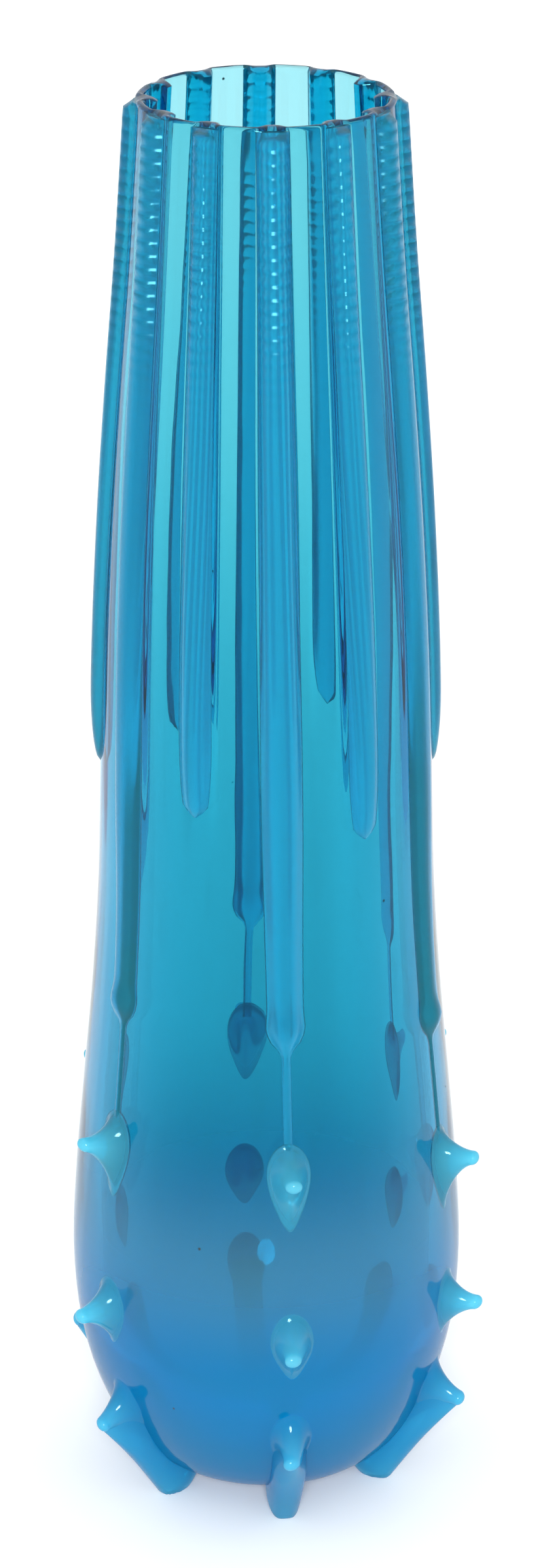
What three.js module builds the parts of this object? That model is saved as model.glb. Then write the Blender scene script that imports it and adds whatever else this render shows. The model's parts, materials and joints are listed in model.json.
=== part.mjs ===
// A swung glass vase: a tall thick-walled vessel of azure glass on six pointed feet.
// Twelve stretched ribs run down from the rim. Every second one is long and ends in a nub.
// Below each nub stand an upper, a middle and a lower thorn, and a keel that ends in a foot.
// Millimetres, +Z up. The origin is on the vase's axis at the level of the foot tips, and
// azimuth zero faces -Y, turning towards +X.

import * as THREE from "three";
import { mergeVertices } from "three/addons/utils/BufferGeometryUtils.js";

// ---- driving dimensions -------------------------------------------------------------------

const HEIGHT = 305;
const SPINES = 6;
const RIBS = 2 * SPINES;
const FULL_TURN = 2 * Math.PI;
const FIRST_RIB = THREE.MathUtils.degToRad(3);
const SWING_TWIST = THREE.MathUtils.degToRad(5.5);
const JOIN_GAP = 0.3;

// The outside of the plain wall between the ribs, as [radius, height], from the rim down.
const WALL_OUTLINE = [
  [25.6, HEIGHT], [27.3, 280], [29.4, 255], [31.5, 228], [33.2, 200], [34.2, 172], [34.7, 148],
  [36.4, 120], [39.0, 92], [41.2, 66], [41.5, 48], [38.9, 29], [31.8, 12.5], [22.5, 4.6],
  [12, 2.0], [0, 1.4],
];

// The wall's thickness, as [height, thickness], from the rim down to where the floor begins.
const WALL_THICKNESS = [
  [HEIGHT, 1.7], [250, 2.0], [222, 2.4], [195, 3.0], [165, 3.6], [130, 4.0], [80, 4.6], [45, 5.6],
];
const CAVITY_FLOOR = 12;
const FLOOR_BLEND = 34;
const LIP_ROUNDING = 0.8;

// The inside swells inwards behind each rib: fully from the first height up, not below the second.
const INNER_BULGE = 2.8;
const INNER_BULGE_HALF_WIDTH = 3.2;
const INNER_BULGE_FULL = 250;
const INNER_BULGE_END = 150;

const RIB_HEIGHT = 2.3;
const RIB_HALF_WIDTH = 3.4;
const RIB_NECK_HALF_WIDTH = 2.6;
const RIB_TAPER = 14;
const NUB_HEIGHT = 2.7;
const NUB_REACH = 5;
const TAIL_HEIGHT = 0.7;
const TAIL_HALF_WIDTH = 2.2;
const RIM_STANDOFF = 0.4;

const KEEL_HEIGHT = 6.5;
const KEEL_HALF_WIDTH = 3.6;

// Each thorn's reach above and below its tip along the wall, and how high it ends below.
const THORN_HALF_WIDTH = 4.4;
const THORN_HOLLOWNESS = 1.3;
const UPPER_THORN = { rise: 7, fall: 11.5, endHeight: 0 };
const MIDDLE_THORN = { rise: 6.5, fall: 8.5, endHeight: 0 };
const LOWER_THORN = { rise: 7.5, fall: 5, endHeight: KEEL_HEIGHT };
const LOWER_THORN_LEVEL = 25;

const FOOT_RADIUS = 25.5;
const FOOT_HEIGHT = 10.4;
const FOOT_REACH = 6;
const KEEL_OVERRUN = 5;

// Heights of the thorns, one value for each spine, round from the front. The upper and middle ones
// of the fifth spine are stubs. The 8.2 and the 9.2 are not the vase's own: they keep the middle of
// the box within 1.5 mm of the vase's axis, which is the origin.
const UPPER_THORN_HEIGHTS = [9, 9, 9, 9, 3.6, 9];
const MIDDLE_THORN_HEIGHTS = [9, 8.2, 9, 9, 3.6, 9];
const LOWER_THORN_HEIGHTS = [8.8, 8.8, 8.8, 8.8, 9.2, 8.8];
const LONG_RIB_ENDS = [116.5, 112, 117, 114, 118, 120];
const SHORT_RIB_ENDS = [159, 163, 165, 160, 166, 165];
const UPPER_THORN_LEVELS = [88.5, 81, 87, 85, 88, 88.5];
const MIDDLE_THORN_LEVELS = [50, 47.5, 50.5, 49, 50, 50.5];

// ---- fineness of the meshes ----------------------------------------------------------------

const ROUND_SEGMENTS = 72;
const WALL_STEPS = 18;
const CAVITY_STEPS = 11;
const LIP_STEPS = 4;
const SECTION_SEGMENTS = 8;
const FOOT_SECTION_SEGMENTS = 12;
const CAP_MIDDLE_LIFT = 0.4;
const LEAST_END = 0.15;
const SEARCH_STEPS = 40;
const WALL_PART_OF_CAVITY = 0.62;
const RIB_STEPS = 16;
const THORN_STEPS = 10;
const FOOT_STEPS = 12;

// ---- the wall -------------------------------------------------------------------------------

const wallCurve = new THREE.SplineCurve(WALL_OUTLINE.map(([radius, z]) => new THREE.Vector2(radius, z)));
wallCurve.arcLengthDivisions = 2000;
const wallLength = wallCurve.getLength();

// How far along the wall from the rim, in millimetres, the outside comes down to a height.
function wallDistance(z) {
  let above = 0;
  let below = 1;
  for (let i = 0; i < SEARCH_STEPS; i += 1) {
    const middle = (above + below) / 2;
    if (wallCurve.getPointAt(middle).y > z) {
      above = middle;
    } else {
      below = middle;
    }
  }
  return above * wallLength;
}

// The same for a radius under the bowl, where the wall runs in towards the axis.
function floorDistance(radius) {
  let outside = wallDistance(LOWER_THORN_LEVEL) / wallLength;
  let inside = 1;
  for (let i = 0; i < SEARCH_STEPS; i += 1) {
    const middle = (outside + inside) / 2;
    if (wallCurve.getPointAt(middle).x > radius) {
      outside = middle;
    } else {
      inside = middle;
    }
  }
  return outside * wallLength;
}

// A point on the outside and the outward direction there, at a distance along the wall.
function wallFrame(distance) {
  const share = THREE.MathUtils.clamp(distance / wallLength, 0, 1);
  const point = wallCurve.getPointAt(share);
  const along = wallCurve.getTangentAt(share);
  return { point, outward: new THREE.Vector2(-along.y, along.x) };
}

// A piecewise straight reading of [where, value] pairs, with where falling.
function readTable(table, where) {
  const last = table.length - 1;
  if (where >= table[0][0]) {
    return table[0][1];
  }
  for (let i = 0; i < last; i += 1) {
    const [high, from] = table[i];
    const [low, to] = table[i + 1];
    if (where >= low) {
      return THREE.MathUtils.lerp(from, to, (high - where) / (high - low));
    }
  }
  return table[last][1];
}

// The ribs lean a little round the vase on their way down, as swung glass does.
function spineAzimuth(turnShare, z) {
  return FIRST_RIB + turnShare * FULL_TURN + SWING_TWIST * (1 - z / HEIGHT);
}

// How far the inside swells inwards at a place: steep-sided behind each rib, flat between them.
function innerBulge(azimuth, z, radius) {
  const pitch = FULL_TURN / RIBS;
  const offRib = azimuth - spineAzimuth(0, z);
  const across = (offRib - Math.round(offRib / pitch) * pitch) * radius;
  const crest = Math.exp(-((across / INNER_BULGE_HALF_WIDTH) ** 4));
  return INNER_BULGE * crest * THREE.MathUtils.smoothstep(z, INNER_BULGE_END, INNER_BULGE_FULL);
}

// ---- the vessel -----------------------------------------------------------------------------

// The closed section of the vessel, with how far each point takes part in the inner bulges.
function vesselSection() {
  const points = [];
  const bulgeShares = [];
  const lipDistance = wallDistance(HEIGHT - LIP_ROUNDING);
  for (let i = 0; i <= WALL_STEPS; i += 1) {
    const share = 1 - Math.cos((i / WALL_STEPS) * Math.PI / 2);
    const distance = THREE.MathUtils.lerp(wallLength, lipDistance, share);
    points.push(wallFrame(distance).point);
    bulgeShares.push(0);
  }
  points[0].x = 0;
  const rimRadius = WALL_OUTLINE[0][0];
  const lipWidth = WALL_THICKNESS[0][1];
  const middle = rimRadius - lipWidth / 2;
  for (let i = 1; i < LIP_STEPS; i += 1) {
    const turn = (i / LIP_STEPS) * Math.PI;
    const radius = middle + Math.cos(turn) * (lipWidth / 2);
    points.push(new THREE.Vector2(radius, HEIGHT - LIP_ROUNDING + Math.sin(turn) * LIP_ROUNDING));
    bulgeShares.push(i / LIP_STEPS);
  }
  for (let i = 0; i <= CAVITY_STEPS; i += 1) {
    points.push(cavityPoint(i / CAVITY_STEPS));
    bulgeShares.push(1);
  }
  points[points.length - 1].x = 0;
  return { points, bulgeShares };
}

function insideRadius(z) {
  return wallFrame(wallDistance(z)).point.x - readTable(WALL_THICKNESS, z);
}

// A point on the inside: a wall that follows the outside, closed by a rounded bowl.
function cavityPoint(share) {
  const bowlTop = CAVITY_FLOOR + FLOOR_BLEND;
  if (share <= WALL_PART_OF_CAVITY) {
    const z = THREE.MathUtils.lerp(HEIGHT - LIP_ROUNDING, bowlTop, share / WALL_PART_OF_CAVITY);
    return new THREE.Vector2(insideRadius(z), z);
  }
  const turn = ((share - WALL_PART_OF_CAVITY) / (1 - WALL_PART_OF_CAVITY)) * (Math.PI / 2);
  return new THREE.Vector2(insideRadius(bowlTop) * Math.cos(turn), bowlTop - FLOOR_BLEND * Math.sin(turn));
}

function vesselGeometry() {
  const { points, bulgeShares } = vesselSection();
  const geometry = new THREE.LatheGeometry(points, ROUND_SEGMENTS);
  geometry.rotateX(Math.PI / 2);
  const position = geometry.attributes.position;
  for (let i = 0; i < position.count; i += 1) {
    const share = bulgeShares[i % points.length];
    const x = position.getX(i);
    const y = position.getY(i);
    const radius = Math.hypot(x, y);
    if (share > 0 && radius > 0) {
      const bulge = share * innerBulge(Math.atan2(x, -y), position.getZ(i), radius);
      const scale = (radius - bulge) / radius;
      position.setXY(i, x * scale, y * scale);
    }
  }
  return geometry;
}

// ---- what grows out of the wall ---------------------------------------------------------------

// A ridge on the wall: a cylinder whose rings become half-round sections, set along the wall.
// sectionAt(share) gives each ring's distance along the wall, height and half width. The middle
// of each end cap stands off the wall, so that no triangle of the cap is drawn out to a line.
function ridgeGeometry(turnShare, steps, sectionAt, sectionSegments = SECTION_SEGMENTS) {
  const geometry = new THREE.CylinderGeometry(1, 1, 1, sectionSegments, steps);
  const position = geometry.attributes.position;
  for (let i = 0; i < position.count; i += 1) {
    const { distance, height, halfWidth } = sectionAt(THREE.MathUtils.clamp(0.5 - position.getY(i), 0, 1));
    const { point, outward } = wallFrame(distance);
    const x = position.getX(i);
    const z = position.getZ(i);
    const across = x * halfWidth;
    const isCapMiddle = Math.hypot(x, z) < 0.5;
    const rise = JOIN_GAP + (isCapMiddle ? CAP_MIDDLE_LIFT : Math.max(z, 0)) * height;
    const radius = point.x + outward.x * rise;
    const azimuth = spineAzimuth(turnShare, point.y) + across / point.x;
    const level = point.y + outward.y * rise;
    position.setXYZ(i, radius * Math.sin(azimuth), -radius * Math.cos(azimuth), level);
  }
  return geometry;
}

// Everything that reaches below the level the vase stands on is ground away flat.
function grindFlat(geometry) {
  const position = geometry.attributes.position;
  for (let i = 0; i < position.count; i += 1) {
    position.setZ(i, Math.max(position.getZ(i), 0));
  }
  return geometry;
}

// A rounded end: the share of full size at a distance in from the end.
function roundedEnd(inwards, reach) {
  const share = THREE.MathUtils.clamp(inwards / reach, 0, 1);
  return Math.max(Math.sqrt(share * (2 - share)), LEAST_END);
}

function shortRib(turnShare, end) {
  const from = wallDistance(HEIGHT - RIM_STANDOFF);
  const to = wallDistance(end);
  return ridgeGeometry(turnShare, RIB_STEPS, (share) => {
    const distance = THREE.MathUtils.lerp(from, to, Math.sin(share * Math.PI / 2));
    const taper = roundedEnd(to - distance, RIB_TAPER);
    return { distance, height: RIB_HEIGHT * taper, halfWidth: RIB_HALF_WIDTH * taper };
  });
}

// A long rib ends in a nub, and a low tail runs on from it towards the upper thorn.
function longRib(turnShare, end, thornLevel) {
  const from = wallDistance(HEIGHT - RIM_STANDOFF);
  const nub = wallDistance(end);
  const to = wallDistance(thornLevel) - UPPER_THORN.rise - JOIN_GAP;
  const shoulder = wallDistance(SHORT_RIB_ENDS[0]);
  return ridgeGeometry(turnShare, RIB_STEPS, (share) => {
    const distance = THREE.MathUtils.lerp(from, to, Math.sin(share * Math.PI / 2));
    const beyondNub = THREE.MathUtils.smoothstep(distance, nub, nub + NUB_REACH);
    const narrowing = THREE.MathUtils.smoothstep(distance, shoulder, nub);
    const body = THREE.MathUtils.lerp(RIB_HEIGHT, NUB_HEIGHT, narrowing);
    const width = THREE.MathUtils.lerp(RIB_HALF_WIDTH, RIB_NECK_HALF_WIDTH, narrowing);
    return {
      distance,
      height: THREE.MathUtils.lerp(body, TAIL_HEIGHT, beyondNub),
      halfWidth: THREE.MathUtils.lerp(width, TAIL_HALF_WIDTH, beyondNub),
    };
  });
}

// Hollow flanks that sweep up to a rounded tip, from 0 at an offset of 1 either way.
function hornProfile(offset) {
  const nearness = (1 + Math.cos(THREE.MathUtils.clamp(offset, -1, 1) * Math.PI)) / 2;
  return nearness ** THORN_HOLLOWNESS;
}

// A thorn, steeper above its tip than below. The lower thorns run out at the keel's height.
function thorn(turnShare, tip, fullHeight, { rise, fall, endHeight }) {
  return ridgeGeometry(turnShare, THORN_STEPS, (share) => {
    const side = 2 * share - 1;
    const distance = tip + (side < 0 ? side * rise : side * fall);
    const ground = side < 0 ? 0 : endHeight;
    const height = THREE.MathUtils.lerp(ground, fullHeight, hornProfile(side));
    const rounding = Math.max(Math.sqrt(1 - side * side), LEAST_END);
    const endWidth = ground > 0 ? KEEL_HALF_WIDTH : THORN_HALF_WIDTH * rounding;
    const halfWidth = ground > 0 ? THREE.MathUtils.lerp(THORN_HALF_WIDTH, endWidth, side) : endWidth;
    return { distance, height: Math.max(height, LEAST_END), halfWidth };
  });
}

// A keel that runs under the bowl from the lower thorn and swells into a pointed foot.
function foot(turnShare) {
  const from = wallDistance(LOWER_THORN_LEVEL) + LOWER_THORN.fall + JOIN_GAP;
  const tip = floorDistance(FOOT_RADIUS);
  const to = tip + KEEL_OVERRUN;
  const geometry = ridgeGeometry(turnShare, FOOT_STEPS, (share) => {
    const distance = THREE.MathUtils.lerp(from, to, share);
    const fadeOut = roundedEnd(to - distance, KEEL_OVERRUN);
    const swell = hornProfile((distance - tip) / FOOT_REACH);
    return {
      distance,
      height: THREE.MathUtils.lerp(KEEL_HEIGHT * fadeOut, FOOT_HEIGHT, swell),
      halfWidth: KEEL_HALF_WIDTH * fadeOut,
    };
  }, FOOT_SECTION_SEGMENTS);
  return grindFlat(geometry);
}

// ---- the assembly -----------------------------------------------------------------------------

const GLASS = {
  vessel: { color: 0x2f9fc4, roughness: 0.04 },
  rib: { color: 0x05a4cb, roughness: 0.04 },
  thorn: { color: 0x43b2cf, roughness: 0.08 },
  foot: { color: 0x1a86b8, roughness: 0.08 },
};

function part(name, geometry, { color, roughness }) {
  geometry.deleteAttribute("normal");
  geometry.deleteAttribute("uv");
  const closed = mergeVertices(geometry, 0.001);
  closed.computeVertexNormals();
  const mesh = new THREE.Mesh(closed, new THREE.MeshStandardMaterial({ color, roughness, metalness: 0 }));
  mesh.name = name;
  return mesh;
}

const vase = new THREE.Group();
vase.add(part("vessel", vesselGeometry(), GLASS.vessel));

for (let k = 0; k < SPINES; k += 1) {
  const longShare = k / SPINES;
  const shortShare = (k + 0.5) / SPINES;
  const upper = wallDistance(UPPER_THORN_LEVELS[k]);
  const middle = wallDistance(MIDDLE_THORN_LEVELS[k]);
  const lower = wallDistance(LOWER_THORN_LEVEL);
  const pieces = {
    long_rib: [longRib(longShare, LONG_RIB_ENDS[k], UPPER_THORN_LEVELS[k]), GLASS.rib],
    short_rib: [shortRib(shortShare, SHORT_RIB_ENDS[k]), GLASS.rib],
    upper_thorn: [thorn(longShare, upper, UPPER_THORN_HEIGHTS[k], UPPER_THORN), GLASS.thorn],
    middle_thorn: [thorn(longShare, middle, MIDDLE_THORN_HEIGHTS[k], MIDDLE_THORN), GLASS.thorn],
    lower_thorn: [thorn(longShare, lower, LOWER_THORN_HEIGHTS[k], LOWER_THORN), GLASS.thorn],
    foot: [foot(longShare), GLASS.foot],
  };
  for (const [name, [geometry, glass]] of Object.entries(pieces)) {
    vase.add(part(`${name}_${k + 1}`, geometry, glass));
  }
}

export default vase;
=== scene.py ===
import json
import math

import bmesh
import bpy
import numpy as np
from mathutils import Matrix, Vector, noise
from mathutils.geometry import interpolate_bezier


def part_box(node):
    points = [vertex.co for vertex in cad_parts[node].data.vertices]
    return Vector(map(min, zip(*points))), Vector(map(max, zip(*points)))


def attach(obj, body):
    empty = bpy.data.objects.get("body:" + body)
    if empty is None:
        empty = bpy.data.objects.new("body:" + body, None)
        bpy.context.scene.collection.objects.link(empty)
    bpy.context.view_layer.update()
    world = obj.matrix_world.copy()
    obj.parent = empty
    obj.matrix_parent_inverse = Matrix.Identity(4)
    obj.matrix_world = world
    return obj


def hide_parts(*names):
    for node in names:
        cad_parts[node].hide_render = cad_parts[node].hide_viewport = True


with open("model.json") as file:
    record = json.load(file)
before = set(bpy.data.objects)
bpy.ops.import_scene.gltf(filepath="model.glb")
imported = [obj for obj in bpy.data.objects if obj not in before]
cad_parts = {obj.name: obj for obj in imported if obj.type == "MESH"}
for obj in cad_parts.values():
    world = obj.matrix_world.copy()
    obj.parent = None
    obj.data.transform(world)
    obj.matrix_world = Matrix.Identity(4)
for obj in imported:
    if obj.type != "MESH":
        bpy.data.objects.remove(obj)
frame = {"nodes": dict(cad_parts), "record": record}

bl_info = {
    "name": "Swung glass vase",
    "version": (1, 0, 0),
    "blender": (4, 5, 0),
    "location": "3D View > Sidebar > Vase",
    "description": "Blows a ribbed, thorned and footed vase of azure glass on its packed frame",
    "category": "Add Mesh",
}

MM = 0.001
SPINES = 6
EDGE_DEPTH = 0.05 * MM  # how far the edges of a rib, thorn or foot are sunk into the wall
ROOT_DEPTH = 0.7 * MM  # how much deeper its underside is sunk
TALL = 14 * MM  # how far a ridge stands out where its glass is as milky as a tip
MERGE_DISTANCE = 0.002 * MM
LIP_RISE = 0.75 * MM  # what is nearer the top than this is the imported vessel's rounded lip
PATH_STEPS = 24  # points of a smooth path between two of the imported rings
SECTION_STRIDE = 6  # how many of them lie between two points of the spun section

# A ridge's section is (1 - |x| ** square) ** flare. A higher square is flatter on top, and a higher
# flare hollows the flanks more.
RIB_SQUARE = 2.8
RIB_FLARE = 1.5
NECK_FLARE = 2.2

NECK_REACH = 15 * MM  # how far above the shoulder a long rib starts to narrow to its neck
NUB_SWELL = 0.9 * MM  # how much further a nub stands out than the neck
NUB_SPREAD = 0.4 * MM  # how much wider it is on each side
NUB_CREST = 2.5 * MM  # how far above its lower end it is fullest
NUB_SPAN = 3 * MM  # how far its swelling reaches up and down from there
NUB_DROP = 2 * MM  # how far below that end its rounding starts
NUB_CLIMB = 6 * MM  # the length of the rounding
NUB_STEP = 1.6 * MM  # a packed rib stands out more than this on its nub and less on its tail
NUB_SLOPE = 3 * MM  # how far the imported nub's slope runs on below that level
TAIL_OVERLAP = 4 * MM  # how far a long rib's tail runs on past the top of the thorn below it
RIM_SHARE = 0.2  # share of its height that a rib keeps where the fire has rounded its top
POINT_REACH = 2 * MM  # the length of the point in which a short rib ends
POINT_SHARE = 0.05  # share of its width at the very end

UPPER_LIFT = 0.8 * MM  # how far an upper thorn's tip hooks upwards
MIDDLE_LIFT = 0.6 * MM
LOWER_LIFT = 0.3 * MM
STUB_SHARE = 0.6  # share of the full width that a thorn of no height would have
GROUND_OFF = 0.5 * MM  # how much grinding takes off a foot to make it flat
LEAST_SHARE = 0.02  # keeps a rounded end's last ring open, so that no faces collapse
FULL_TURN = 2 * math.pi
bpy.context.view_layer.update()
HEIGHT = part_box("vessel")[1].z


# ---- what the frame says ----------------------------------------------------------------------


def rings(side):
    """(radius, height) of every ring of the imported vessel's outside (1) or inside (-1), from the
    middle of its floor up to the lip."""
    mesh = frame["nodes"]["vessel"].data
    pivot = Vector((0, 0, HEIGHT / 2))
    lip = HEIGHT - LIP_RISE
    radii = {}
    for polygon in mesh.polygons:
        if side * polygon.normal.dot(polygon.center - pivot) <= 0:
            continue
        for index in polygon.vertices:
            place = mesh.vertices[index].co
            if place.z < lip:
                radii.setdefault(round(place.z, 5), []).append(place.xy.length)
    return [(max(radii[level]), level) for level in sorted(radii)]


def smooth_path(points):
    """The points joined by smooth curves, as arrays of radius, height and distance run."""
    knots = [Vector((radius, height, 0)) for radius, height in points]
    before = [knots[0], *knots[:-1]]
    after = [*knots[1:], knots[-1]]
    reach = [(b - a) / 6 for a, b in zip(before, after)]
    reach[0].y = 0
    path = []
    for i in range(len(knots) - 1):
        span = interpolate_bezier(
            knots[i],
            knots[i] + reach[i],
            knots[i + 1] - reach[i + 1],
            knots[i + 1],
            PATH_STEPS,
        )
        path.extend(span[:-1])
    path.append(knots[-1])
    radius = np.array([p.x for p in path])
    height = np.array([p.y for p in path])
    run = np.concatenate(([0.0], np.cumsum(np.hypot(np.diff(radius), np.diff(height)))))
    return radius, height, run


OUT_RADIUS, OUT_HEIGHT, OUT_RUN = smooth_path(rings(1))
IN_RADIUS, IN_HEIGHT, _ = smooth_path(rings(-1))


def wall_at(run):
    """The outside at a distance up the wall from the middle of the floor: its radius and height,
    and the outward direction there as (radial, vertical)."""
    step = 0.2 * MM
    radius = np.interp(run, OUT_RUN, OUT_RADIUS)
    height = np.interp(run, OUT_RUN, OUT_HEIGHT)
    ahead = min(run + step, OUT_RUN[-1])
    behind = max(run - step, 0.0)
    across = np.interp(ahead, OUT_RUN, OUT_RADIUS) - np.interp(behind, OUT_RUN, OUT_RADIUS)
    up = np.interp(ahead, OUT_RUN, OUT_HEIGHT) - np.interp(behind, OUT_RUN, OUT_HEIGHT)
    length = math.hypot(across, up)
    return radius, height, up / length, -across / length


def run_to_height(height):
    """The distance up the wall to a height on the bowl or above it."""
    return float(np.interp(height, OUT_HEIGHT, OUT_RUN))


def run_to_radius(radius):
    """The distance up the wall to a radius under the bowl."""
    widest = int(np.argmax(OUT_RADIUS))
    return float(np.interp(radius, OUT_RADIUS[:widest], OUT_RUN[:widest]))


def azimuth_of(x, y):
    """0 at the front, which faces -Y, turning towards +X."""
    return math.atan2(x, -y)


def top_azimuth(node):
    """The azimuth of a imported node's highest points."""
    near_top = 0.5 * MM
    places = [v.co for v in frame["nodes"][node].data.vertices]
    top = max(p.z for p in places)
    highest = [p for p in places if p.z > top - near_top]
    return azimuth_of(sum(p.x for p in highest), sum(p.y for p in highest))


MOUNTS = frame["record"]["mounts"]
FOOT_PADS = [Vector(m["pos_m"]) for m in MOUNTS if m["name"].startswith("foot_pad")]
RIM_AZIMUTH = top_azimuth("long_rib_1")
SWING = azimuth_of(FOOT_PADS[0].x, FOOT_PADS[0].y) - RIM_AZIMUTH


def rib_azimuth(turn, height):
    """The azimuth of the rib that stands a share of a turn round from the front one. The swing
    leans every rib the same way."""
    return RIM_AZIMUTH + turn * FULL_TURN + SWING * (1 - height / HEIGHT)


# ---- sizes and finishes a user may change --------------------------------------------------------


def length(name, description, millimetres):
    """A property for a length, whose default is given in millimetres."""
    return bpy.props.FloatProperty(
        name=name, description=description, default=millimetres * MM, unit="LENGTH"
    )


class VesselSettings(bpy.types.PropertyGroup):
    """The blown body between the ribs."""

    steps_round: bpy.props.IntProperty(
        name="Steps round", description="Faces round the vessel", default=480
    )
    inner_bulge: length("Inner bulge", "How far the inside swells behind a rib near the rim", 2.8)
    bulge_half_width: length("Bulge half width", "Half the width of an inner swelling at the rim", 2.1)
    bulge_full: length("Bulge full", "Height above which the inner swelling is full", 250)
    bulge_end: length("Bulge end", "Height below which there is no inner swelling", 150)
    swing_marks: length("Swing marks", "Depth of the long, soft marks that the swing leaves", 0.1)


class RibSettings(bpy.types.PropertyGroup):
    """The stretched ribs."""

    height: length("Height", "How far a rib stands out of the wall", 2.3)
    rim_half_width: length("Rim half width", "Half the width of a long rib at the rim", 3.3)
    half_width: length("Half width", "Half the width of a long rib at the shoulder", 4.3)
    short_share: bpy.props.FloatProperty(
        name="Short share", description="Width of a short rib as a share of a long one", default=0.85
    )
    neck: length("Neck half width", "Half the width of a long rib above its nub", 3.8)
    taper: length("Taper", "Length over which a short rib runs out", 18)
    polish: length("Polish", "Length over which the fire has rounded a rib's top", 1.8)
    nub_height: length("Nub height", "How far a long rib's nub stands out", 2.8)
    tail_height: length("Tail height", "How far the low tail under a nub stands out", 0.4)
    tail_half_width: length("Tail half width", "Half the width of the tail", 0.9)


class ThornSettings(bpy.types.PropertyGroup):
    """The pinched thorns and the feet."""

    full_height: length("Full height", "How far a thorn of full width stands out", 9)
    shy: length("Shy", "How far a fire-rounded tip stays under the packed one", 0.4)
    tip_radius: length("Tip radius", "Radius of a thorn's round tip", 1.5)
    half_width: length("Half width", "Half the width of a thorn's flared base", 4.6)
    thorn_rise: length("Rise", "How far a thorn's base reaches above its tip", 7)
    upper_fall: length("Upper fall", "How far an upper thorn's base reaches down", 12.5)
    middle_fall: length("Middle fall", "How far a middle thorn's base reaches down", 9)
    lower_fall: length("Lower fall", "How far a lower thorn's base reaches down the keel", 12)
    keel_half_width: length("Keel half width", "Half the width of the keel", 3.7)
    keel_sag: length("Keel sag", "How far the keel's edge hangs back between its two tips", 0.6)
    foot_reach: length("Foot reach", "How far a foot runs on under the bowl beyond its tip", 6)
    lean: length("Lean", "How far the hand tool pulled a thorn's tip sideways at most", 0.9)


class GlassSettings(bpy.types.PropertyGroup):
    """The glass itself."""

    tint: bpy.props.StringProperty(
        name="Tint", description="sRGB hex of light that the glass lets through", default="#00e7f4"
    )
    sheen: bpy.props.StringProperty(
        name="Sheen", description="sRGB hex of the light that the surface throws back", default="#7ce7ff"
    )
    density: bpy.props.FloatProperty(
        name="Density", description="Absorption per metre of glass", default=460.0
    )
    ior: bpy.props.FloatProperty(
        name="IOR", description="Refractive index of the glass", default=1.47
    )


class StageSettings(bpy.types.PropertyGroup):
    """The floor, lights and camera."""

    distance: length("Distance", "Camera's distance in front of the axis", 870)
    level: length("Level", "Camera's height above the floor", 525)
    aside: length("Aside", "Camera's offset to the right of the axis", 1)
    pitch: bpy.props.FloatProperty(
        name="Pitch", description="Camera's tilt down", default=math.radians(22.8), subtype="ANGLE"
    )
    lens: bpy.props.FloatProperty(name="Lens", description="Focal length in mm", default=104.5)


# ---- meshes --------------------------------------------------------------------------------------


def finish_piece(name, bm, nodes, material):
    """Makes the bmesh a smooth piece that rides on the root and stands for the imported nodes."""
    sharp_edge = math.radians(40)
    bmesh.ops.remove_doubles(bm, verts=bm.verts, dist=MERGE_DISTANCE)
    bmesh.ops.recalc_face_normals(bm, faces=bm.faces)
    mesh = bpy.data.meshes.new(name)
    bm.to_mesh(mesh)
    bm.free()
    mesh.shade_smooth()
    mesh.set_sharp_from_angle(angle=sharp_edge)
    piece = bpy.data.objects.new(name, mesh)
    bpy.context.scene.collection.objects.link(piece)
    mesh.materials.append(material)
    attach(piece, "root")
    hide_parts(*nodes)


def smoothstep(value, low, high):
    """0 up to the low value, 1 from the high one, and a smooth climb between."""
    share = min(max((value - low) / (high - low), 0.0), 1.0)
    return share * share * (3 - 2 * share)


def mix(a, b, share):
    """The value a share of the way from a to b."""
    return a + (b - a) * share


def cross(a, b):
    """The cross product of two flat vectors."""
    return a.x * b.y - a.y * b.x


def on_wall(turn, run, across, rise):
    """The place at a distance up the wall, to the side of a spine and out from the wall. Nothing
    goes under the floor, which is what grinds the feet flat."""
    radius, height, radial, vertical = wall_at(run)
    reach = radius + radial * rise
    azimuth = rib_azimuth(turn, height) + across / radius
    return reach * math.sin(azimuth), -reach * math.cos(azimuth), max(height + vertical * rise, 0.0)


def straight_rod(segments, steps):
    """A rod on a unit circle, one unit long, with rings that cut it into steps."""
    bm = bmesh.new()
    bmesh.ops.create_cone(bm, cap_ends=True, segments=segments, radius1=1, radius2=1, depth=1)
    upright = [e for e in bm.edges if abs(e.verts[0].co.z - e.verts[1].co.z) > 0.5]
    bmesh.ops.subdivide_edges(bm, edges=upright, cuts=steps - 1, use_grid_fill=True)
    return bm


def ridge(name, node, turn, start, end, station, material, steps):
    """A solid that grows out of the wall between two distances up it. Each ring of a straight rod
    becomes the section that station(run) asks for. The underside of every section reaches into the
    wall, to its full depth a third of the way round, so the pieces read as one melt."""
    segments, underside_slope = 64, 3
    bm = straight_rod(segments, steps)
    stand = bm.verts.layers.float.new("stand")
    runs = [mix(start, end, ring / steps) for ring in range(steps + 1)]
    sections = [station(run) for run in runs]
    for vertex in bm.verts:
        x, y = vertex.co.x, vertex.co.y
        ring = round((vertex.co.z + 0.5) * steps)
        run, section = runs[ring], sections[ring]
        if y >= -1e-6:
            bell = max(1 - abs(x) ** section["square"], 0.0) ** section["flare"]
            rise = section["height"] * bell - EDGE_DEPTH
        else:
            rise = -EDGE_DEPTH - ROOT_DEPTH * min(-y * underside_slope, 1.0)
        vertex[stand] = min(max(rise / TALL, 0.0), 1.0)
        vertex.co = on_wall(turn, run, x * section["half_width"], rise)
    finish_piece(name, bm, [node], material)


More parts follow.
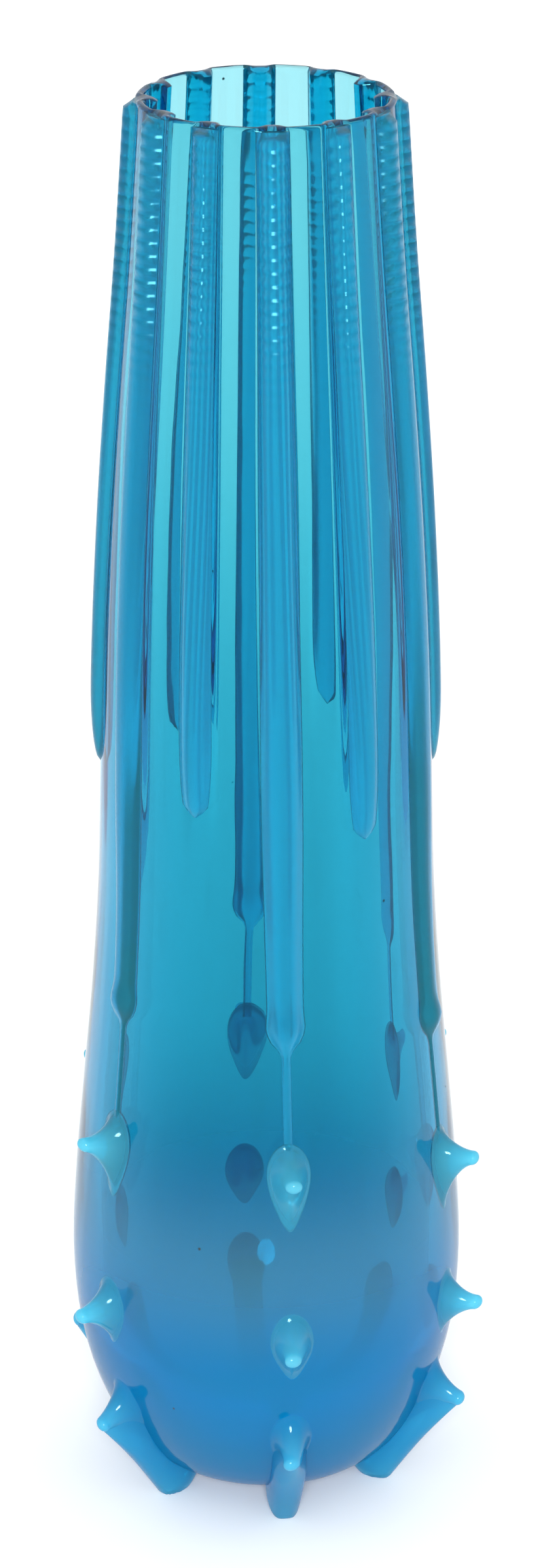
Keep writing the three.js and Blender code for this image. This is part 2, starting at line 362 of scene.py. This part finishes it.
def thorn_solid(name, node, turn, tip, shape, material):
    """A hollow-flanked thorn with a round tip. Each ring of a straight rod becomes a level of the
    thorn: first the underside, then the base's long outline, and the tip's circle at the top."""
    segments, steps = 56, 40
    under_rings, cap_rings = 6, 8
    pinch_curve = 1.5
    bm = straight_rod(segments, steps)
    bmesh.ops.poke(bm, faces=[f for f in bm.faces if abs(f.normal.z) > 0.9])
    stand = bm.verts.layers.float.new("stand")
    flank = shape["height"] - shape["tip_radius"]
    for vertex in bm.verts:
        ring = round((vertex.co.z + 0.5) * steps)
        turned = math.atan2(vertex.co.x, vertex.co.y)
        up, side = math.cos(turned), math.sin(turned)
        cap = 1.0
        if ring <= under_rings:
            share = ring / under_rings
            cap = share
            rise = -EDGE_DEPTH - ROOT_DEPTH
        elif ring <= steps - cap_rings:
            climb = (ring - under_rings - 1) / (steps - cap_rings - under_rings - 1)
            share = (1 - climb) ** shape["hollow"]
            rise = flank * climb ** shape["foot_sweep"] - EDGE_DEPTH * (1 - climb)
        else:
            bend = (ring - steps + cap_rings) / cap_rings * math.pi / 2
            share, cap = 0.0, math.cos(bend)
            rise = flank + shape["tip_radius"] * math.sin(bend)
        reach = shape["rise"] if up > 0 else shape["fall"]
        pinch = 1 - shape["pinch"] * max(-up, 0.0) ** pinch_curve
        along = mix(shape["tip_radius"] * cap * up, reach * up, share)
        across = mix(shape["tip_radius"] * cap * side, shape["half_width"] * side * pinch, share)
        pulled = max(rise, 0.0) / shape["height"]
        vertex[stand] = pulled
        along += shape["lift"] * pulled * pulled
        across += shape["lean"] * pulled * pulled
        vertex.co = on_wall(turn, tip + along, across, rise)
    finish_piece(name, bm, [node], material)


def round_end(inwards, reach):
    """Share of full size at a distance in from a rounded end."""
    share = min(max(inwards / reach, 0.0), 1.0)
    return max(math.sqrt(share * (2 - share)), LEAST_SHARE)


def node_runs(node):
    """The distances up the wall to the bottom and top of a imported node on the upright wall."""
    low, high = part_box(node)
    return run_to_height(low.z), run_to_height(high.z)


def tip_of(node):
    """The distance up the wall to a packed thorn's tip, and how far the tip stands out."""
    highest = (0.0, 0.0)
    for vertex in frame["nodes"][node].data.vertices:
        gaps = np.hypot(OUT_RADIUS - vertex.co.xy.length, OUT_HEIGHT - vertex.co.z)
        nearest = int(np.argmin(gaps))
        highest = max(highest, (float(gaps[nearest]), float(OUT_RUN[nearest])))
    return highest[1], highest[0]


def inner_bulge(azimuth, height, radius, settings):
    """How far the inside swells inwards at a place: steep-sided behind each rib, flat between, and
    wider where the vase is wider."""
    pitch = FULL_TURN / SPINES / 2
    widening, steepness = 1.5, 4
    off_rib = azimuth - rib_azimuth(0, height)
    across = (off_rib - round(off_rib / pitch) * pitch) * radius
    half_width = settings.bulge_half_width * (radius / IN_RADIUS[-1]) ** widening
    crest = math.exp(-((across / half_width) ** steepness))
    return settings.inner_bulge * crest * smoothstep(height, settings.bulge_end, settings.bulge_full)


def swing_mark(azimuth, height, depth, seed):
    """Soft marks, long up and down and narrow round the wall, that fade out over the floor."""
    across, along = 3.5, 9
    unmarked, marked = 15 * MM, 60 * MM
    place = Vector((math.cos(azimuth) * across, math.sin(azimuth) * across, height * along + seed))
    return depth * noise.noise(place) * smoothstep(height, unmarked, marked)


class VASE_OT_blow_vessel(bpy.types.Operator):
    """Spin the section of the vessel, then swell its inside behind the ribs"""

    bl_idname = "vase.blow_vessel"
    bl_label = "Blow vessel"

    def execute(self, context):
        settings = context.scene.vase_vessel
        on_axis = 0.01 * MM
        inner_marks = 40  # sets the marks of the inside apart from those of the outside
        bm = bmesh.new()
        share = bm.verts.layers.float.new("inside")
        chain = []
        for radius, height, inward in self.section():
            vertex = bm.verts.new((0 if radius < on_axis else radius, 0, height))
            vertex[share] = inward
            chain.append(vertex)
        edges = [bm.edges.new(pair) for pair in zip(chain, chain[1:])]
        bmesh.ops.spin(
            bm,
            geom=chain + edges,
            axis=(0, 0, 1),
            cent=(0, 0, 0),
            angle=FULL_TURN,
            steps=settings.steps_round,
            use_merge=True,
        )
        bmesh.ops.remove_doubles(bm, verts=bm.verts, dist=MERGE_DISTANCE)
        for vertex in bm.verts:
            x, y, height = vertex.co
            radius = math.hypot(x, y)
            if radius == 0:
                continue
            azimuth = azimuth_of(x, y)
            inward = vertex[share]
            mark = swing_mark(azimuth, height, settings.swing_marks, inward * inner_marks)
            moved = radius - inward * inner_bulge(azimuth, height, radius, settings)
            moved += mark if inward > 0.5 else -abs(mark)
            vertex.co.x *= moved / radius
            vertex.co.y *= moved / radius
        finish_piece("blown_vessel", bm, ["vessel"], vessel_glass(context))
        return {"FINISHED"}

    def section(self):
        """(radius, height, inward) from the middle of the underside, over the lip and down to the
        middle of the floor. Inward is 0 on the outside and 1 on the inside."""
        out_path = zip(OUT_RADIUS[::SECTION_STRIDE], OUT_HEIGHT[::SECTION_STRIDE])
        in_path = zip(IN_RADIUS[::-SECTION_STRIDE], IN_HEIGHT[::-SECTION_STRIDE])
        outside = [(radius, height, 0.0) for radius, height in out_path]
        inside = [(radius, height, 1.0) for radius, height in in_path]
        from_radius, base = outside[-1][:2]
        to_radius = inside[0][0]
        middle, half = (from_radius + to_radius) / 2, (from_radius - to_radius) / 2
        lip = []
        lip_steps = 10
        for i in range(1, lip_steps):
            turn = math.pi * i / lip_steps
            rise = (HEIGHT - base) * math.sin(turn)
            lip.append((middle + half * math.cos(turn), base + rise, i / lip_steps))
        return outside + lip + inside


class VASE_OT_pull_ribs(bpy.types.Operator):
    """Pull the long and the short ribs down from the rim"""

    bl_idname = "vase.pull_ribs"
    bl_label = "Pull ribs"

    def execute(self, context):
        settings = context.scene.vase_ribs
        glass = rib_glass(context)
        shoulder = node_runs("short_rib_1")[0]

        def width(run):
            """Half the width of a rib, which the swing has drawn out thin towards the rim."""
            share = smoothstep(run, shoulder, OUT_RUN[-1])
            return mix(settings.half_width, settings.rim_half_width, share)

        for k in range(SPINES):
            self.short_rib(k, width, settings, glass)
            self.long_rib(k, width, shoulder, settings, glass)
        return {"FINISHED"}

    def short_rib(self, k, width, settings, glass):
        """A rib between two spines, which runs out at the shoulder."""
        node = f"short_rib_{k + 1}"
        bottom, top = node_runs(node)
        run_out_share = 0.5
        steps = 110

        def station(run):
            taper = round_end(run - bottom, settings.taper)
            point = min((run - bottom) / POINT_REACH + POINT_SHARE, 1)
            narrowing = mix(run_out_share, 1, taper)
            polish = mix(RIM_SHARE, 1, round_end(top - run, settings.polish))
            return {
                "height": settings.height * taper * polish,
                "half_width": width(run) * settings.short_share * narrowing * point,
                "square": RIB_SQUARE,
                "flare": RIB_FLARE,
            }

        turn = (k + 0.5) / SPINES
        ridge(f"rib_short_{k + 1}", node, turn, bottom, top, station, glass, steps)

    def long_rib(self, k, width, shoulder, settings, glass):
        """A rib that narrows to a neck, swells to a nub and goes on as a low tail to the thorn."""
        node = f"long_rib_{k + 1}"
        top = node_runs(node)[1]
        nub = self.nub_run(node)
        bottom = node_runs(f"upper_thorn_{k + 1}")[1] - TAIL_OVERLAP
        neck_height = settings.nub_height - NUB_SWELL
        steps = 140

        def station(run):
            over_nub = round_end(run - nub + NUB_DROP, NUB_CLIMB)
            narrow = 1 - smoothstep(run, nub, shoulder + NECK_REACH)
            swell = math.exp(-(((run - nub - NUB_CREST) / NUB_SPAN) ** 2))
            body = mix(settings.height, neck_height, narrow) + NUB_SWELL * swell
            half_width = mix(width(run), settings.neck, narrow) + NUB_SPREAD * swell
            polish = mix(RIM_SHARE, 1, round_end(top - run, settings.polish))
            return {
                "height": mix(settings.tail_height, body, over_nub) * polish,
                "half_width": mix(settings.tail_half_width, half_width, over_nub),
                "square": RIB_SQUARE,
                "flare": mix(RIB_FLARE, NECK_FLARE, narrow),
            }

        turn = k / SPINES
        ridge(f"rib_long_{k + 1}", node, turn, bottom, top, station, glass, steps)

    def nub_run(self, node):
        """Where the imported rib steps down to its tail, read from how far it stands out."""
        best = None
        for vertex in frame["nodes"][node].data.vertices:
            run = run_to_height(vertex.co.z)
            stands_out = vertex.co.xy.length - wall_at(run)[0]
            if stands_out > NUB_STEP and (best is None or run < best):
                best = run
        if best is None:
            raise RuntimeError(f"{node} has no nub")
        return best - NUB_SLOPE


class VASE_OT_pinch_thorns(bpy.types.Operator):
    """Pinch the upper, middle and lower thorns out of the wall"""

    bl_idname = "vase.pinch_thorns"
    bl_label = "Pinch thorns"

    def execute(self, context):
        settings = context.scene.vase_thorns
        pale, deep = thorn_glass(context), foot_glass(context)
        for k in range(SPINES):
            self.thorn(k, "upper_thorn", settings.upper_fall, UPPER_LIFT, settings, pale)
            self.thorn(k, "middle_thorn", settings.middle_fall, MIDDLE_LIFT, settings, pale)
            self.thorn(k, "lower_thorn", settings.lower_fall, LOWER_LIFT, settings, deep)
        return {"FINISHED"}

    def thorn(self, k, kind, fall, lift, settings, glass):
        """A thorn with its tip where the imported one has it. A shorter one is narrower. Noise, which
        stays within about half either way, leans each one its own way."""
        node = f"{kind}_{k + 1}"
        tip, height = tip_of(node)
        own_place = Vector((k * 3.7, tip * 100, 1.3))
        lean = settings.lean * noise.noise(own_place) * 2
        shape = {
            "height": height - settings.shy,
            "tip_radius": settings.tip_radius,
            "rise": settings.thorn_rise,
            "fall": fall,
            "half_width": settings.half_width * mix(STUB_SHARE, 1, height / settings.full_height),
            "pinch": 0.45,
            "hollow": 1.5,
            "foot_sweep": 1.5,
            "lift": lift,
            "lean": lean,
        }
        name = kind.replace("_thorn", "_thorn_glass")
        thorn_solid(f"{name}_{k + 1}", node, k / SPINES, tip, shape, glass)


class VASE_OT_form_feet(bpy.types.Operator):
    """Form the keels and the pointed feet under the bowl"""

    bl_idname = "vase.form_feet"
    bl_label = "Form feet"

    def execute(self, context):
        settings = context.scene.vase_thorns
        glass = bpy.data.materials.get("formed_azure_glass") or foot_glass(context)
        for k in range(SPINES):
            self.foot(k, settings, glass)
        return {"FINISHED"}

    def foot(self, k, settings, glass):
        """A fin whose edge runs nearly straight from the lower thorn's tip to the foot's tip, and
        rounds off beyond it. Near the thorn its section turns from blunt to hollow-flanked."""
        blunt_square, thorn_square = 2.6, 2
        blunt_flare, thorn_flare = 0.6, 2.2
        thorn_from = 0.55
        steps = 72
        top, height = tip_of(f"lower_thorn_{k + 1}")
        tip = self.foot_run(FOOT_PADS[k].xy.length)
        bottom = tip - settings.foot_reach
        high = self.standing_point(top, height - settings.tip_radius / 2)
        low = self.standing_point(tip, self.ground_height(tip))
        edge = high - low

        def station(run):
            radius, height, radial, vertical = wall_at(run)
            share = (run - tip) / (top - tip)
            if run >= tip:
                outwards = Vector((radial, vertical))
                gap = low - Vector((radius, height))
                to_edge = cross(gap, edge) / cross(outwards, edge)
                stands = to_edge - settings.keel_sag * math.sin(math.pi * share)
                fade = 1.0
            else:
                fade = round_end(run - bottom, settings.foot_reach)
                stands = self.ground_height(tip) * fade
            near_thorn = smoothstep(share, thorn_from, 1)
            return {
                "height": stands + EDGE_DEPTH,
                "half_width": settings.keel_half_width * fade,
                "square": mix(blunt_square, thorn_square, near_thorn),
                "flare": mix(blunt_flare, thorn_flare, near_thorn),
            }

        name, node, turn = f"foot_glass_{k + 1}", f"foot_{k + 1}", k / SPINES
        ridge(name, node, turn, bottom, top, station, glass, steps)

    def standing_point(self, run, rise):
        """The place that stands out from the wall, as radius and height."""
        radius, height, radial, vertical = wall_at(run)
        return Vector((radius + radial * rise, height + vertical * rise))

    def ground_height(self, run):
        """How far out from the wall the floor is, plus what grinding the foot flat takes off."""
        _, height, _, vertical = wall_at(run)
        return height / -vertical + GROUND_OFF

    def foot_run(self, pad_radius):
        """Where under the bowl the wall faces the middle of a foot's pad."""
        tries = 200
        runs = np.linspace(run_to_radius(0.5 * pad_radius), run_to_radius(pad_radius), tries)

        def miss(run):
            return abs(self.standing_point(run, self.ground_height(run)).x - pad_radius)

        return min(runs, key=miss)


# ---- materials -----------------------------------------------------------------------------------


def linear(hexcode):
    """An sRGB hex colour as linear red, green, blue and alpha."""
    channels = [int(hexcode[i : i + 2], 16) / 255 for i in (1, 3, 5)]
    curved = [c / 12.92 if c <= 0.04045 else ((c + 0.055) / 1.055) ** 2.4 for c in channels]
    return (*curved, 1.0)


def add_node(tree, kind, settings=None, **links):
    """Adds a node, sets its sockets or properties by name, and links sockets to it. A link is
    named for the input, with _ for a space."""
    node = tree.nodes.new(kind)
    for name, value in (settings or {}).items():
        if name in node.inputs:
            node.inputs[name].default_value = value
        else:
            setattr(node, name, value)
    for name, source in links.items():
        tree.links.new(source, node.inputs[name.replace("_", " ")])
    return node


def glass_material(name, context, surface, density_share=1.0, transmission=1.0, roughness=0.0,
                   ripple_mm=6.0):
    """Azure soda-lime glass, blown and swung, and coloured through its depth. Its surface carries
    a long ripple that bends what is seen through it, and a roughness that varies a little with
    fire and handling. The sheen keeps its reflections blue."""
    swung_long = 0.25  # the swing has drawn the ripple out to four times its width
    ripple_strength, ripple_height = 0.03, 1 * MM
    wear = 0.03
    calm, rippled = 0.3, 0.7  # nearly all of the noise lies between these
    glass = context.scene.vase_glass
    material = bpy.data.materials.new(name)
    material.use_nodes = True
    tree = material.node_tree
    tree.nodes.clear()
    place = add_node(tree, "ShaderNodeTexCoord")
    stretched = add_node(tree, "ShaderNodeMapping", {"Scale": (1, 1, swung_long)},
                         Vector=place.outputs["Object"])
    ripple = add_node(tree, "ShaderNodeTexNoise", {"Scale": 1 / (ripple_mm * MM), "Detail": 1.0},
                      Vector=stretched.outputs["Vector"])
    bump = add_node(tree, "ShaderNodeBump",
                    {"Strength": ripple_strength, "Distance": ripple_height},
                    Height=ripple.outputs["Fac"])
    worn = add_node(tree, "ShaderNodeMapRange",
                    {"From Min": calm, "From Max": rippled,
                     "To Min": roughness, "To Max": roughness + wear},
                    Value=ripple.outputs["Fac"])
    shader = add_node(
        tree,
        "ShaderNodeBsdfPrincipled",
        {
            "Base Color": linear(surface),
            "IOR": glass.ior,
            "Transmission Weight": transmission,
            "Specular Tint": linear(glass.sheen),
        },
        Normal=bump.outputs["Normal"],
        Roughness=worn.outputs["Result"],
    )
    depth = add_node(tree, "ShaderNodeVolumeAbsorption",
                     {"Color": linear(glass.tint), "Density": glass.density * density_share})
    out = add_node(tree, "ShaderNodeOutputMaterial")
    tree.links.new(shader.outputs[0], out.inputs["Surface"])
    tree.links.new(depth.outputs[0], out.inputs["Volume"])
    return material


def height_mask(tree, low, high):
    """A value that goes smoothly from 0 at one height to 1 at another."""
    place = add_node(tree, "ShaderNodeTexCoord")
    parts = add_node(tree, "ShaderNodeSeparateXYZ", Vector=place.outputs["Object"])
    return add_node(tree, "ShaderNodeMapRange",
                    {"interpolation_type": "SMOOTHSTEP", "From Min": low, "From Max": high},
                    Value=parts.outputs["Z"])


def node_of(material, kind):
    """The material's first node of a kind."""
    return next(node for node in material.node_tree.nodes if node.bl_idname == kind)


def drive(tree, socket, value):
    """Sets a socket to a value, or links another node's output to it."""
    if isinstance(value, bpy.types.NodeSocket):
        tree.links.new(value, socket)
    else:
        socket.default_value = value


def blend(tree, factor, low, high):
    """A colour that goes from one to another with a factor. The node has a set of sockets for each
    type of data, and these are the places of the colour's own."""
    factor_in, low_in, high_in, colour_out = 0, 6, 7, 2
    colour = add_node(tree, "ShaderNodeMix", {"data_type": "RGBA"})
    drive(tree, colour.inputs[factor_in], factor)
    drive(tree, colour.inputs[low_in], linear(low))
    drive(tree, colour.inputs[high_in], linear(high))
    return colour.outputs[colour_out]


def ramp(tree, value, low, high):
    """Turns a value from 0 to 1 into one from low to high."""
    return add_node(tree, "ShaderNodeMapRange", {"To Min": low, "To Max": high}, Value=value)


def product(tree, first, second):
    """One value times another."""
    node = add_node(tree, "ShaderNodeMath", {"operation": "MULTIPLY"})
    tree.links.new(first, node.inputs[0])
    tree.links.new(second, node.inputs[1])
    return node.outputs[0]


def overlay(material, shader, share):
    """Lays a share of another shader over the material's surface."""
    tree = material.node_tree
    both = add_node(tree, "ShaderNodeMixShader")
    target = node_of(material, "ShaderNodeOutputMaterial").inputs["Surface"]
    drive(tree, both.inputs["Fac"], share)
    tree.links.new(target.links[0].from_socket, both.inputs[1])
    tree.links.new(shader.outputs[0], both.inputs[2])
    tree.links.new(both.outputs[0], target)


def milk_and_fill_light(material, colour, share):
    """A coloured layer over the glass. On the thorns and feet it stands for milky glass; over the
    vessel's lower body it is painted fill light. It isn't in the real one, whose depth alone gives this
    colour: half of it throws light back and half glows, so that thick glass in shade doesn't go black."""
    polish, even = 0.12, 0.5
    tree = material.node_tree
    coat = add_node(tree, "ShaderNodeBsdfPrincipled", {"Roughness": polish})
    glow = add_node(tree, "ShaderNodeBsdfTranslucent")
    drive(tree, coat.inputs["Base Color"], colour)
    drive(tree, glow.inputs["Color"], colour)
    both = add_node(tree, "ShaderNodeMixShader", {"Fac": even})
    tree.links.new(coat.outputs[0], both.inputs[1])
    tree.links.new(glow.outputs[0], both.inputs[2])
    # On the vessel this laid-over layer is painted fill light; on the thorns and feet it stands for
    # milky glass.
    overlay(material, both, share)


def seeds(material):
    """A few dark specks of furnace stone, which give the clear wall its scale."""
    tree = material.node_tree
    spacing, radius = 18 * MM, 0.45 * MM
    solid_share = 0.6  # a speck is solid this far out, and then fades
    cells = add_node(tree, "ShaderNodeTexVoronoi", {"Scale": 1 / spacing},
                     Vector=node_of(material, "ShaderNodeTexCoord").outputs["Object"])
    near = add_node(tree, "ShaderNodeMapRange",
                    {"From Min": radius / spacing, "From Max": solid_share * radius / spacing},
                    Value=cells.outputs["Distance"])
    stone = add_node(tree, "ShaderNodeBsdfPrincipled", {"Base Color": linear("#16262c")})
    overlay(material, stone, near.outputs["Result"])


def vessel_glass(context):
    """Clear above, with painted fill light over the lower body, which lifts the shade of the vase's own
    shadow seen through the glass. It is pale higher up, where it also paints soft reflections, and a
    deep azure round the thick bowl. The painted layer lies mostly on the outside, so that the bowl keeps
    its depth."""
    # Heights between which the painted fill light fades in, and between which its colour turns from pale
    # to deep azure.
    fill_light_top, fill_light_full = 98 * MM, 30 * MM
    pale_from, azure_from = 76 * MM, 40 * MM
    # pale paints soft reflections over the lower body; azure is the deep colour of the thick bowl,
    # painted on as fill light.
    pale, azure = "#7cd4f0", "#00a8ee"
    outside_fill_share, inside_fill_share = 0.62, 0.08
    material = glass_material("blown_azure_glass", context, "#dcecec")
    tree = material.node_tree
    low = height_mask(tree, fill_light_top, fill_light_full).outputs["Result"]
    lowest = height_mask(tree, pale_from, azure_from).outputs["Result"]
    inside = add_node(tree, "ShaderNodeAttribute", {"attribute_name": "inside"})
    share = ramp(tree, inside.outputs["Fac"], outside_fill_share, inside_fill_share).outputs["Result"]
    # Painted fill light over the lower body, against the shade of the vase's own shadow seen through the
    # glass.
    milk_and_fill_light(material, blend(tree, lowest, pale, azure), product(tree, low, share))
    seeds(material)
    return material


def rib_glass(context):
    """The same glass, drawn out by the swing. A tint and a soft surface make the ribs read deeper
    than the wall. Near the rim, uneven rows of fine beads catch the light."""
    material = glass_material("swung_azure_glass", context, "#4ce2fa", density_share=0.5,
                              transmission=0.92, roughness=0.2, ripple_mm=4.0)
    tree = material.node_tree
    bead_pitch, bead_height = 2.6 * MM, 0.5 * MM
    beads_from, beads_full = 243 * MM, 275 * MM
    wave_period = math.pi / 10  # the length of a wave at a scale of 1
    beads = add_node(tree, "ShaderNodeTexWave",
                     {"bands_direction": "Z", "Scale": wave_period / bead_pitch},
                     Vector=node_of(material, "ShaderNodeTexCoord").outputs["Object"])
    near_rim = height_mask(tree, beads_from, beads_full).outputs["Result"]
    uneven = product(tree, near_rim, node_of(material, "ShaderNodeTexNoise").outputs["Fac"])
    ripple = node_of(material, "ShaderNodeBump")
    bump = add_node(tree, "ShaderNodeBump", {"Strength": 1.0, "Distance": bead_height},
                    Height=product(tree, beads.outputs["Fac"], uneven),
                    Normal=ripple.outputs["Normal"])
    shader = node_of(material, "ShaderNodeBsdfPrincipled")
    tree.links.new(bump.outputs["Normal"], shader.inputs["Normal"])
    return material


def chilled_glass(name, context, root, tip, root_share, tip_share):
    """Glass that a cold tool has pinched: it clouds more and grows paler from root to tip."""
    material = glass_material(name, context, "#b0f0fa", density_share=0.4, roughness=0.06)
    tree = material.node_tree
    stand = add_node(tree, "ShaderNodeAttribute", {"attribute_name": "stand"}).outputs["Fac"]
    share = ramp(tree, stand, root_share, tip_share).outputs["Result"]
    milk_and_fill_light(material, blend(tree, stand, root, tip), share)
    return material


def thorn_glass(context):
    """Paler than the wall, so each thorn reads as a drop of milk-blue light."""
    return chilled_glass("pinched_azure_glass", context, "#58d8f4", "#78e6fa", 0.32, 0.75)


def foot_glass(context):
    """Thicker, and so a deeper azure that joins the bowl."""
    return chilled_glass("formed_azure_glass", context, "#08a6de", "#60d8f4", 0.6, 0.8)


# ---- the stage -----------------------------------------------------------------------------------


class VASE_OT_set_stage(bpy.types.Operator):
    """Lay the floor, hang the lights and place the camera"""

    bl_idname = "vase.set_stage"
    bl_label = "Set stage"

    def execute(self, context):
        stage = context.scene.vase_stage
        self.floor()
        self.sky(context)
        self.window_light(context)
        self.camera(context, stage)
        return {"FINISHED"}

    def floor(self):
        """Matt white paper, which takes the vase's soft shadow."""
        metres_out = 6
        bm = bmesh.new()
        bmesh.ops.create_circle(bm, cap_ends=True, segments=64, radius=metres_out)
        mesh = bpy.data.meshes.new("floor")
        bm.to_mesh(mesh)
        bm.free()
        floor = bpy.data.objects.new("floor", mesh)
        bpy.context.scene.collection.objects.link(floor)
        paper = bpy.data.materials.new("matt_white_paper")
        paper.use_nodes = True
        shader = paper.node_tree.nodes["Principled BSDF"]
        shader.inputs["Base Color"].default_value = linear("#fafbfb")
        shader.inputs["Roughness"].default_value = 0.9
        mesh.materials.append(paper)

    def sky(self, context):
        """Even light from all round. The bounces let it find its way out of the thick glass, where
        a reflection from within counts as a glossy one."""
        bounces = 48
        world = bpy.data.worlds.new("soft_studio")
        world.use_nodes = True
        back = world.node_tree.nodes["Background"]
        back.inputs["Color"].default_value = linear("#f8fafc")
        back.inputs["Strength"].default_value = 1.0
        context.scene.world = world
        context.scene.view_settings.view_transform = "Standard"
        context.scene.cycles.max_bounces = bounces
        context.scene.cycles.transmission_bounces = bounces
        context.scene.cycles.glossy_bounces = bounces

    def window_light(self, context):
        """A broad, even light from the front, whose soft shadow falls behind the vase."""
        elevation = 28
        light = bpy.data.lights.new("window", "SUN")
        light.energy = 2.5
        light.angle = math.radians(15)
        lamp = bpy.data.objects.new("window", light)
        lamp.rotation_euler = (math.radians(90 - elevation), 0, 0)
        context.scene.collection.objects.link(lamp)

    def camera(self, context, stage):
        data = bpy.data.cameras.new("camera")
        data.lens = stage.lens
        data.sensor_width = 36
        data.clip_start, data.clip_end = 0.05, 50
        camera = bpy.data.objects.new("camera", data)
        camera.location = (stage.aside, -stage.distance, stage.level)
        camera.rotation_euler = (math.pi / 2 - stage.pitch, 0, 0)
        context.scene.collection.objects.link(camera)
        context.scene.camera = camera


class VASE_PT_panel(bpy.types.Panel):
    """The vase's steps and sizes"""

    bl_idname = "VASE_PT_panel"
    bl_label = "Swung glass vase"
    bl_space_type = "VIEW_3D"
    bl_region_type = "UI"
    bl_category = "Vase"

    def draw(self, context):
        for operator in OPERATORS:
            self.layout.operator(operator.bl_idname)
        for name in SETTINGS:
            group = getattr(context.scene, name)
            box = self.layout.box()
            box.label(text=group.bl_rna.description)
            for key in group.bl_rna.properties.keys():
                if key not in ("rna_type", "name"):
                    box.prop(group, key)


SETTINGS = {
    "vase_vessel": VesselSettings,
    "vase_ribs": RibSettings,
    "vase_thorns": ThornSettings,
    "vase_glass": GlassSettings,
    "vase_stage": StageSettings,
}
OPERATORS = (
    VASE_OT_set_stage,
    VASE_OT_blow_vessel,
    VASE_OT_pull_ribs,
    VASE_OT_pinch_thorns,
    VASE_OT_form_feet,
)


def register():
    for cls in (*SETTINGS.values(), *OPERATORS, VASE_PT_panel):
        bpy.utils.register_class(cls)
    for name, cls in SETTINGS.items():
        setattr(bpy.types.Scene, name, bpy.props.PointerProperty(type=cls))


def unregister():
    for name in SETTINGS:
        delattr(bpy.types.Scene, name)
    for cls in reversed((*SETTINGS.values(), *OPERATORS, VASE_PT_panel)):
        bpy.utils.unregister_class(cls)


def main():
    register()
    bpy.ops.vase.set_stage()
    bpy.ops.vase.blow_vessel()
    bpy.ops.vase.pull_ribs()
    bpy.ops.vase.pinch_thorns()
    bpy.ops.vase.form_feet()


if __name__ == "__main__":
    main()
